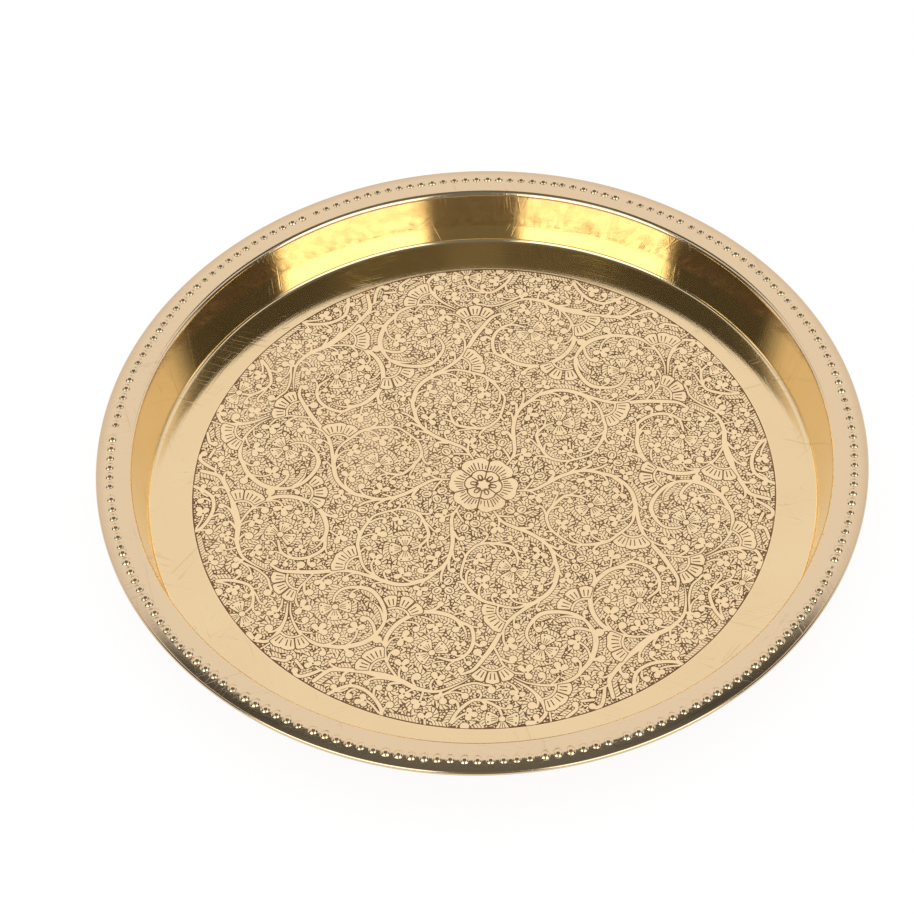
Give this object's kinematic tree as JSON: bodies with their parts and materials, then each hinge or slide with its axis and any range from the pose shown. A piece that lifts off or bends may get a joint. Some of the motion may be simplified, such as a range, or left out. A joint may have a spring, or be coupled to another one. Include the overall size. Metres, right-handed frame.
{
  "type": "thali plate",
  "caption": "Round brass dining plate with a steep-walled flat well, a row of struck beads on its flange, a curled edge and an all-over etched flower scroll on its floor",
  "frame": {"origin": "centre of the underside of the floor, on the surface that the plate stands on", "axes": "+Z is the plate's axis and points up out of the well; the plate is round, so +X and +Y are free, and -Y faces the viewer of the picture"},
  "size_m": [0.305, 0.305, 0.0264],
  "materials": {
    "brass_sheet": "bright polished brass with fine spinning lines, and a dark etched ornament on the floor",
    "brass_wire": "plain drawn brass wire"
  },
  "bodies": {
    "root": {"plate_sheet": "brass_sheet", "rim_wire": "brass_wire"}
  },
  "joints": []
}
